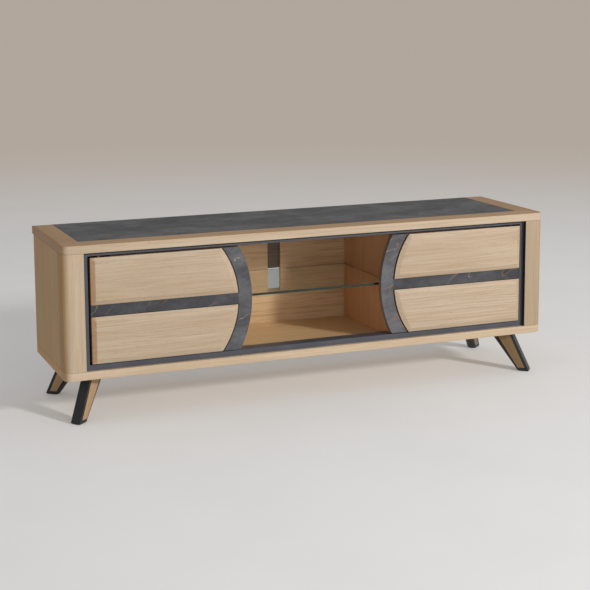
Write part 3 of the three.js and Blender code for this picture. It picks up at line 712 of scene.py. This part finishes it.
def fixing_tree():
    """Geometry Nodes that set a chamfered head, with or without a cross slot, on every point."""
    rim_share, crown_start, slot_span, no_slot = 0.5, 0.45, 1.15, 0.00001
    tree = bpy.data.node_groups.new("Cabinet fixings", "GeometryNodeTree")
    face = tree.interface
    face.new_socket("Geometry", in_out="INPUT", socket_type="NodeSocketGeometry")
    sizes = ("Head radius", "Head height", "Crown share", "Slot width", "Slot depth")
    kinds = {**dict.fromkeys(sizes, "Float"), "Facets": "Int", "Seed": "Int", "Finish": "Material"}
    inputs = {}
    for name, kind in kinds.items():
        socket = face.new_socket(name, in_out="INPUT", socket_type="NodeSocket" + kind)
        inputs[name] = socket.identifier
    face.new_socket("Geometry", in_out="OUTPUT", socket_type="NodeSocketGeometry")

    def add(kind, values=None, **settings):
        return add_node(tree, kind, values, **settings)

    def times(a, b):
        return add("ShaderNodeMath", {0: a, 1: b}, operation="MULTIPLY").outputs[0]

    def vector(x, y, z):
        return add("ShaderNodeCombineXYZ", {0: x, 1: y, 2: z}).outputs[0]

    def raised(geometry, height):
        values = {"Geometry": geometry, "Translation": vector(0.0, 0.0, height)}
        return add("GeometryNodeTransform", values).outputs[0]

    def value_sockets(sockets):
        return [socket for socket in sockets if socket.type == "VALUE" and socket.enabled]

    start = add("NodeGroupInput").outputs
    facets, radius, height = start["Facets"], start["Head radius"], start["Head height"]
    width, depth = start["Slot width"], start["Slot depth"]
    values = {"Vertices": facets, "Radius": radius, "Depth": times(height, rim_share)}
    rim = add("GeometryNodeMeshCylinder", values)
    values = {
        "Vertices": facets, "Depth": times(height, 1.0 - crown_start),
        "Radius Bottom": radius, "Radius Top": times(radius, start["Crown share"]),
    }
    crown = add("GeometryNodeMeshCone", values)
    head = add("GeometryNodeMeshBoolean", operation="UNION")
    feed(tree, head.inputs["Mesh 2"], raised(rim.outputs["Mesh"], times(height, rim_share / 2)))
    feed(tree, head.inputs["Mesh 2"], raised(crown.outputs["Mesh"], times(height, crown_start)))
    cut = add("GeometryNodeMeshBoolean", {"Mesh 1": head.outputs["Mesh"]}, operation="DIFFERENCE")
    span = times(radius, slot_span)
    for x, y in ((span, width), (width, span)):
        bar = add("GeometryNodeMeshCube", {"Size": vector(x, y, times(depth, 2.0))})
        feed(tree, cut.inputs["Mesh 2"], raised(bar.outputs["Mesh"], height))
    slotted = add("FunctionNodeCompare", {0: depth, 1: no_slot}, data_type="FLOAT", operation="GREATER_THAN")
    values = {0: slotted.outputs[0], 1: head.outputs["Mesh"], 2: cut.outputs["Mesh"]}
    pick = add("GeometryNodeSwitch", values, input_type="GEOMETRY")
    aim = add("GeometryNodeInputNamedAttribute", {"Name": "aim"}, data_type="FLOAT_VECTOR")
    facing = add("FunctionNodeAlignRotationToVector", {"Vector": aim.outputs[0]}, axis="Z")
    spin = add("FunctionNodeRandomValue", {"Seed": start["Seed"]}, data_type="FLOAT")
    least, most = value_sockets(spin.inputs)
    least.default_value = 0.0
    most.default_value = 2 * pi
    angle = value_sockets(spin.outputs)[0]
    about = add("FunctionNodeAxisAngleToRotation", {"Axis": ALONG_Z, "Angle": angle})
    both = {0: facing.outputs[0], 1: about.outputs[0]}
    turn = add("FunctionNodeRotateRotation", both, rotation_space="LOCAL")
    values = {"Points": start["Geometry"], "Instance": pick.outputs[0], "Rotation": turn.outputs[0]}
    spread = add("GeometryNodeInstanceOnPoints", values)
    real = add("GeometryNodeRealizeInstances", {0: spread.outputs[0]})
    coated = add("GeometryNodeSetMaterial", {"Geometry": real.outputs[0], "Material": start["Finish"]})
    add("NodeGroupOutput", {0: coated.outputs[0]})
    return tree, inputs


def heads(xs, y, zs):
    """Places for fixings in columns and rows on a rear face, with the way they face."""
    return [(Vector((x, y, z)), BACKWARDS) for x in xs for z in zs]


def fixings(name, body, slot, kit, points, material, seed, metal, **sizes):
    """One mesh of screws on the points. Sizes are those that differ from the usual screw's."""
    tree, inputs = kit
    mesh = bpy.data.meshes.new(name + "_points")
    mesh.from_pydata([tuple(place) for place, _ in points], [], [])
    aim = mesh.attributes.new("aim", "FLOAT_VECTOR", "POINT")
    for i, (_, way) in enumerate(points):
        aim.data[i].vector = way
    carrier = blank(name + "_points", mesh)
    layout = carrier.modifiers.new("Fixings", "NODES")
    layout.node_group = tree
    screw = {
        "Head radius": metal.screw_radius,
        "Head height": metal.screw_height,
        "Crown share": 0.72,
        "Slot width": metal.cross_width,
        "Slot depth": metal.cross_depth,
        "Facets": metal.sides,
    }
    changed = {key.replace("_", " "): size for key, size in sizes.items()}
    for key, value in {**screw, **changed, "Seed": seed, "Finish": material}.items():
        layout[inputs[key]] = value
    done = worked(carrier)
    if not done.polygons:
        raise RuntimeError(f"{name} came out empty")
    return settle(name, done, body, material, 30)


# Stage


def toward(turn, lift):
    """The way from the cabinet to a thing to the right of straight ahead and above the floor."""
    return Vector((sin(turn) * cos(lift), -cos(turn) * cos(lift), sin(lift)))


def lay_floor(stage):
    below_feet = 0.0004
    mesh = bpy.data.meshes.new("floor")
    shape = bmesh.new()
    bmesh.ops.create_circle(shape, cap_ends=True, radius=stage.floor_radius, segments=96)
    for face in shape.faces:
        if face.normal.z < 0:
            face.normal_flip()
    shape.to_mesh(mesh)
    shape.free()
    mesh.materials.append(pale_floor(stage))
    floor = blank("floor", mesh)
    floor.location = (0, 0, -below_feet)


def light_room(scene, stage):
    world = bpy.data.worlds.new("room")
    scene.world = world
    world.use_nodes = True
    tree = world.node_tree
    tree.nodes.clear()
    seen = glow(tree, "ShaderNodeBackground", stage.horizon)
    light = glow(tree, "ShaderNodeBackground", stage.ambient, stage.ambient_level)
    share = ray_share(tree, "Is Camera Ray", "Is Transmission Ray")
    add_node(tree, "ShaderNodeOutputWorld", {"Surface": shader_mix(tree, share, light, seen)})


def hang_lamp(scene, name, width, power, way, reach, colour=(1.0, 1.0, 1.0)):
    """A round lamp that stands off the cabinet and looks at it."""
    target = Vector((0, 0, 0.36))
    lamp = bpy.data.lights.new(name, "AREA")
    lamp.shape = "DISK"
    lamp.size = width
    lamp.energy = power
    lamp.color = colour
    holder = bpy.data.objects.new(name, lamp)
    holder.location = target + way * reach
    holder.rotation_euler = way.to_track_quat("Z", "Y").to_euler()
    scene.collection.objects.link(holder)


def set_camera(scene, stage):
    forward = -toward(-stage.turn, stage.dip)
    right = Vector((cos(stage.turn), -sin(stage.turn), 0))
    up = right.cross(forward)
    across = cos(stage.roll) * right + sin(stage.roll) * up
    upright = -sin(stage.roll) * right + cos(stage.roll) * up
    facing = Matrix((across, upright, -forward)).transposed().to_4x4()
    eye = bpy.data.cameras.new("camera")
    eye.sensor_width = 36
    eye.lens = stage.lens
    eye.shift_y = stage.drop
    camera = bpy.data.objects.new("camera", eye)
    camera.matrix_world = Matrix.Translation(stage.eye) @ facing
    scene.collection.objects.link(camera)
    scene.camera = camera


# Operators


class CABINET_OT_stage(bpy.types.Operator):
    """Adds the floor, the lamps, the room light and the camera"""

    bl_idname = "cabinet.stage"
    bl_label = "Stage"

    def execute(self, context):
        scene = context.scene
        stage = scene.cabinet_stage
        scene.view_settings.view_transform = "Standard"
        lay_floor(stage)
        light_room(scene, stage)
        key_way = toward(stage.key_turn, stage.key_lift)
        fill_way = toward(stage.fill_turn, stage.fill_lift)
        hang_lamp(scene, "key", stage.key_width, stage.key_power, key_way, stage.lamp_reach, stage.key_colour)
        hang_lamp(scene, "fill", stage.fill_width, stage.fill_power, fill_way, stage.lamp_reach)
        set_camera(scene, stage)
        return {"FINISHED"}


class CABINET_OT_case(bpy.types.Operator):
    """Finishes the top, bottom, sides, partitions, backs and shelves"""

    bl_idname = "cabinet.case"
    bl_label = "Case boards"

    def execute(self, context):
        wood, stone = context.scene.cabinet_wood, context.scene.cabinet_stone
        inlay_low, inlay_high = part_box("top_ceramic_inlay")
        frame_low, frame_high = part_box("metal_frame")
        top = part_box("top_board")[1].z
        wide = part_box("right_side_panel")[1].x
        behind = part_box("niche_back_panel")[1].y
        niche_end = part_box("right_partition")[0].x
        skin, frame_gap, frame_lap = 0.0006, 0.0009, 0.0002
        cross = (inlay_high.x, inlay_low.y, top - skin)
        # Painted shade: the sides' faces in the rebate in front of the front frame are painted near-black.
        rebate = (frame_high.x + frame_gap, frame_low.y - frame_lap)
        # Painted shade on the outer faces of the sides, with a darker band by each front corner.
        outside = (zone("outer face", "X", wide), zone("stile painted shade", "X", wide, STILE_SHADE_DEPTH))
        # Several boards take painted light and shade through their tints and zones: warm bounce light in the
        # niche, shade on the sides, on the top and on the ends.
        boards = (
            ("top_board", "oak of the top", ALONG_X, (0.3, 0.02, 0.05), dict(
                cross=cross, zones=(zone("upper face", "Z", top), zone("top ends", "X", wide)))),
            ("bottom_board", "oak of the bottom", ALONG_X, (1.7, 0.31, 0.12), dict(
                tint="bottom board",
                zones=(zone("inside", "Y", frame_high.y), zone("bottom ends", "X", wide)))),
            ("niche_back_panel", "oak of the niche back", ALONG_X, (2.3, 0.05, 0.9), dict(
                tint="niche back", zones=(zone("rear face", "Y", behind),), bold=2.6)),
            ("left_side_panel", "oak of the left side", ALONG_Z, (0.5, 0.4, 0.22), dict(
                zones=outside, blacked=rebate)),
            ("right_side_panel", "oak of the right side", ALONG_Z, (3.1, 0.73, 0.61), dict(
                tint="right side", zones=outside, blacked=rebate)),
            ("left_partition", "oak of the left partition", ALONG_Z, (4.3, 0.12, 0.35), dict(
                tint="left partition")),
            ("right_partition", "oak of the right partition", ALONG_Z, (5.2, 0.51, 0.27), dict(
                tint="right partition", zones=(zone("niche face", "X", niche_end),))),
        )
        for node, name, direction, move, more in boards:
            eased(node, oak(name, wood, direction, move, **more), wood.arris)
        inner = oak("oak inside the cupboards", wood, ALONG_X, (6.4, 0.9, 0.4), "cupboards")
        rail = oak("oak of the shelf rails", wood, ALONG_Y, (7.4, 0.2, 0.1), "shelf rails")
        for side in SIDES:
            eased(f"{side}_cupboard_shelf", inner, wood.arris)
            eased(f"{side}_rear_cover", inner, wood.cover_arris, 2)
            for place in ("outer", "inner"):
                eased(f"{side}_shelf_cleat_{place}", rail, wood.arris)
        # The rear brace's near-black brown is painted shade behind the cable slot.
        eased("rear_brace", shaded_brace_oak(wood), wood.arris)
        inlay = slate("slate of the top", stone.dark, stone.light, stone, stone.top_veins, (0.2, 0.4, 0.1))
        eased("top_ceramic_inlay", inlay, stone.arris, 2)
        return {"FINISHED"}


class CABINET_OT_doors(bpy.types.Operator):
    """Finishes both doors: oak boards and panels, ceramic bands"""

    bl_idname = "cabinet.doors"
    bl_label = "Doors"

    def execute(self, context):
        wood, stone = context.scene.cabinet_wood, context.scene.cabinet_stone
        lip, unpainted_rear, bar_start = 0.0007, 0.0014, 0.2895
        for side, way in SIDES.items():
            start = 2.6 + 1.3 * way
            for place, row in (("upper", 0.0), ("lower", 0.47)):
                node = f"{side}_door_{place}_panel"
                low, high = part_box(node)
                end = max(-low.x, high.x) - wood.bevel_width
                # Painted shade: the panel's walls down in the grooves are painted near-black, and its outer
                # bevel is darkened.
                finish = oak(
                    f"oak of the {side} {place} panel", wood, ALONG_X, (start, 0.3 + row, 0.15 + row),
                    "door panels", 1.12, zones=(zone(f"{side} panel end", "X", end),),
                    lined=low.y + wood.bevel_rise + lip,
                )
                eased(node, finish, wood.panel_arris, limit=10)
            node = f"{side}_door_board"
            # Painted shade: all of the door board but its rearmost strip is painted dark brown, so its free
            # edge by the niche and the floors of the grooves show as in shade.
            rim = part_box(node)[1].y - unpainted_rear
            finish = oak(
                f"oak of the {side} door board", wood, ALONG_X, (start, 0.9, 0.7),
                "door boards", blacked=(None, rim), stain_and_shade=DOOR_EDGE_PAINTED_SHADE,
            )
            eased(node, finish, wood.arris, 2)
            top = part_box(f"{side}_door_upper_panel")[0].z
            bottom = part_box(f"{side}_door_lower_panel")[1].z
            bar = (bar_start, (top + bottom) / 2, (top - bottom) / 2)
            band = slate(
                f"slate of the {side} door", stone.band_dark, stone.band_light, stone, stone.band_veins,
                (start + 1.1, 0.1 * way, 0.66), bar,
            )
            eased(f"{side}_door_ceramic", band, stone.arris, 2)
        return {"FINISHED"}


class CABINET_OT_metalwork(bpy.types.Operator):
    """Finishes the front frame, the pivots, the strike plates, the catches and the shelf pins"""

    bl_idname = "cabinet.metalwork"
    bl_label = "Metalwork"

    def execute(self, context):
        metal = context.scene.cabinet_metal
        # Painted shadow: the coat is painted almost black along the top of the frame, where the top board
        # overhangs it.
        painted_shadow_height = 0.0062
        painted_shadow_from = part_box("metal_frame")[1].z - painted_shadow_height
        coat = powder_coat("anthracite coat", metal.anthracite, 0.42, painted_shadow_from=painted_shadow_from)
        eased("metal_frame", coat, metal.arris)
        steel = bare_metal("brushed steel", metal.steel, 0.3, ALONG_X)
        browned = bare_metal("browned steel", scaled(metal.steel, 0.05), 0.5, ALONG_X)
        bronze = bare_metal("bearing bronze", metal.bronze, 0.34, ALONG_Z)
        plastic = moulded_plastic("black plastic of the catches", metal.plastic)
        for side in SIDES:
            eased(f"{side}_door_strike_plate", steel, metal.fine_arris, 2)
            eased(f"{side}_magnetic_catch", plastic, metal.arris)
            for level in ("upper", "lower"):
                eased(f"{side}_{level}_pivot_strap", browned, metal.fine_arris, 2)
                eased(f"{side}_{level}_pivot_bush", bronze, metal.fine_arris, 2)
            for place in ENDS:
                eased(f"{side}_glass_pin_{place}", steel, metal.pin_arris, 2)
        return {"FINISHED"}


class CABINET_OT_glass(bpy.types.Operator):
    """Finishes the glass shelf with clear faces and green ground edges, and adds the pins' flanges"""

    bl_idname = "cabinet.glass"
    bl_label = "Glass shelf"

    def execute(self, context):
        metal, glass = context.scene.cabinet_metal, context.scene.cabinet_glass
        shelf = eased("glass_shelf", None, glass.arris)
        shelf.data.materials.append(float_glass("clear glass", glass.clear, 1.0, 0.0))
        shelf.data.materials.append(float_glass("green glass edge", glass.edge, 0.15, 0.12))
        nearly_level = 0.9
        for face in shelf.data.polygons:
            face.material_index = 0 if abs(face.normal.z) > nearly_level else 1
        nickel = bare_metal("nickel of the pin flanges", metal.nickel, 0.6, ALONG_Z)
        for side, way in SIDES.items():
            low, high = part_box(f"{side}_partition")
            inner = low.x if way > 0 else high.x
            for place in ENDS:
                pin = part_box(f"{side}_glass_pin_{place}")
                pin_flange(f"{side}_pin_flange_{place}", way, pin, inner, metal, nickel)
        return {"FINISHED"}


class CABINET_OT_legs(bpy.types.Operator):
    """Finishes the four splayed legs with their brackets, plates and glides"""

    bl_idname = "cabinet.legs"
    bl_label = "Legs"

    def execute(self, context):
        wood, metal = context.scene.cabinet_wood, context.scene.cabinet_metal
        splay_x, splay_y = 0.054, 0.046
        coat = powder_coat("black coat", metal.black, 0.38, gloss=0.45)
        plastic = moulded_plastic("black plastic of the glides", metal.plastic)
        for side, x in SIDES.items():
            for end, y in ENDS.items():
                leg = f"{end}_{side}_leg"
                low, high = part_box(leg)
                lean = (splay_x * x, splay_y * y, low.z - high.z)
                move = (0.8 + x * 0.3, 0.5 + y * 0.2, 0.3)
                # The tint by side paints light on the left legs and shade on the right ones.
                finish = oak(f"oak of the {end} {side} leg", wood, lean, move, f"{side} legs")
                eased(leg, finish, wood.leg_arris)
                eased(f"{leg}_bracket", coat, metal.arris)
                eased(f"{leg}_mount_plate", coat, metal.arris)
                eased(f"{leg}_glide", plastic, metal.glide_arris, 2)
        return {"FINISHED"}


class CABINET_OT_fixings(bpy.types.Operator):
    """Adds the screws and the felt buffers"""

    bl_idname = "cabinet.fixings"
    bl_label = "Screws and buffers"

    def execute(self, context):
        metal = context.scene.cabinet_metal
        kit = fixing_tree()
        steel = bare_metal("steel of the screws", metal.steel, 0.3, ALONG_Z)
        black = powder_coat("black coat of the screws", metal.black, 0.34)
        plates, covers = [], []
        plate_shares = ((0.14, 0.16), (0.50, 0.14), (0.12, 0.52))
        for side, x in SIDES.items():
            for end, y in ENDS.items():
                low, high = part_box(f"{end}_{side}_leg_mount_plate")
                inner, outer = (high.x, low.x) if x < 0 else (low.x, high.x)
                near, away = (low.y, high.y) if y > 0 else (high.y, low.y)
                for u, v in plate_shares:
                    spot = (inner + (outer - inner) * u, near + (away - near) * v, low.z)
                    plates.append((Vector(spot), DOWNWARDS))
            low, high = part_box(f"{side}_rear_cover")
            end_gap, rail_gap, stile_gap, columns = 0.02, 0.014, 0.012, 5
            step = (high.x - low.x - 2 * end_gap) / (columns - 1)
            along = [low.x + end_gap + step * i for i in range(columns)]
            covers += heads(along, high.y, (low.z + rail_gap, high.z - rail_gap))
            covers += heads((low.x + stile_gap, high.x - stile_gap), high.y, ((low.z + high.z) / 2,))
        low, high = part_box("niche_back_panel")
        gap, lower_row, upper_row = 0.016, 0.02, 0.11
        rows = (low.z + lower_row, low.z + upper_row)
        covers += heads((low.x + gap, high.x - gap), high.y, rows)
        low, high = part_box("rear_brace")
        gap = 0.03
        brace = heads((low.x + gap, high.x - gap), high.y, (low.z + gap, high.z - gap))
        fixings("mount_plate_screws", "case", "black_metal", kit, plates, black, 3, metal)
        fixings("rear_cover_screws", "case", "steel", kit, covers, steel, 5, metal, Head_radius=0.0034)
        fixings(
            "rear_brace_screws", "case", "black_metal", kit, brace, black, 9, metal,
            Head_radius=0.0055, Head_height=0.0024,
        )
        felt = pressed_felt("felt of the buffers", metal.felt)
        for side in SIDES:
            body = body_of(f"{side}_door_board")
            low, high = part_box(f"{side}_door_strike_plate")
            gap = 0.007
            plate = heads((low.x + gap, high.x - gap), high.y, ((low.z + high.z) / 2,))
            fixings(
                f"{side}_strike_plate_screws", body, "steel", kit, plate, steel, 11, metal,
                Head_radius=0.0026, Head_height=0.0009, Slot_width=0.0007, Slot_depth=0.0005,
            )
            low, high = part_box(f"{side}_door_board")
            post_low, post_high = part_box(f"{side}_partition")
            gap = 0.035
            pads = heads(((post_low.x + post_high.x) / 2,), high.y, (low.z + gap, high.z - gap))
            fixings(
                f"{side}_door_buffers", body, "black_plastic", kit, pads, felt, 1, metal,
                Head_radius=0.006, Head_height=0.0032, Crown_share=0.86, Slot_width=0.001,
                Slot_depth=0.0, Facets=32,
            )
        return {"FINISHED"}


class CABINET_PT_panel(bpy.types.Panel):
    """Lists the steps that build the cabinet"""

    bl_idname = "CABINET_PT_panel"
    bl_label = "Oak Television Cabinet"
    bl_space_type = "VIEW_3D"
    bl_region_type = "UI"
    bl_category = "Cabinet"

    def draw(self, context):
        column = self.layout.column()
        for step in STEPS:
            column.operator(step.bl_idname)
        for name, group in GROUPS.items():
            box = self.layout.box()
            for key in group.__annotations__:
                box.prop(getattr(context.scene, name), key)


STEPS = (
    CABINET_OT_stage, CABINET_OT_case, CABINET_OT_doors, CABINET_OT_metalwork,
    CABINET_OT_glass, CABINET_OT_legs, CABINET_OT_fixings,
)
GROUPS = {
    "cabinet_wood": CabinetWood,
    "cabinet_stone": CabinetStone,
    "cabinet_metal": CabinetMetal,
    "cabinet_glass": CabinetGlass,
    "cabinet_stage": CabinetStage,
}


def register():
    for kind in (*GROUPS.values(), *STEPS, CABINET_PT_panel):
        bpy.utils.register_class(kind)
    for name, kind in GROUPS.items():
        setattr(bpy.types.Scene, name, PointerProperty(type=kind))


def unregister():
    for name in GROUPS:
        delattr(bpy.types.Scene, name)
    for kind in reversed((*GROUPS.values(), *STEPS, CABINET_PT_panel)):
        bpy.utils.unregister_class(kind)


def main():
    register()
    for step in STEPS:
        group, name = step.bl_idname.split(".")
        getattr(getattr(bpy.ops, group), name)()


if __name__ == "__main__":
    main()
